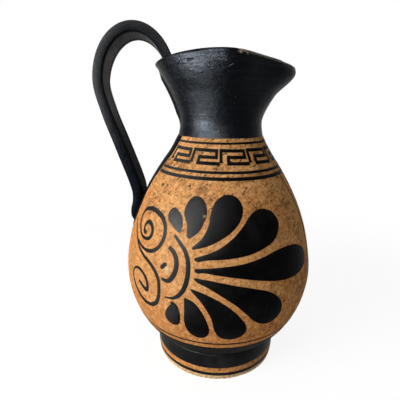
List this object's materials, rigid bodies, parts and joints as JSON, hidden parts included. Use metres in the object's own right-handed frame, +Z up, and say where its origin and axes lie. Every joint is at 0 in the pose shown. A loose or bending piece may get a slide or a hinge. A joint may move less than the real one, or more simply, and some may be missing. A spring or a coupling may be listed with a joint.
{
  "type": "oinochoe jug",
  "caption": "Fired clay wine jug on a ring foot, with a pinched pouring mouth, a tall strap handle, and a palmette, spirals and a running key painted in black slip.",
  "frame": {"origin": "on the wheel's axis, at the plane of the table that the ring foot stands on", "axes": "+Z up the wheel's axis, +X towards the spout, the handle on the -X side, the palmettes facing -Y and +Y"},
  "size_m": [0.1698, 0.1506, 0.264],
  "materials": {
    "clay": "matte",
    "slipped_clay": "satin",
    "black_slip": "satin"
  },
  "bodies": {
    "root": {"body": "clay", "foot_ring": "clay", "neck_mouth": "slipped_clay", "handle": "slipped_clay", "back_coat": "black_slip", "neck_line": "black_slip", "key_band": "black_slip", "shoulder_line_upper": "black_slip", "shoulder_line_lower": "black_slip", "panel_frame": "black_slip", "palmette_near": "black_slip", "palmette_far": "black_slip", "heart_near": "black_slip", "heart_far": "black_slip", "volutes_near": "black_slip", "volutes_far": "black_slip", "belly_line": "black_slip", "lower_belly_coat": "black_slip", "foot_band": "black_slip", "foot_line": "black_slip"}
  },
  "joints": []
}
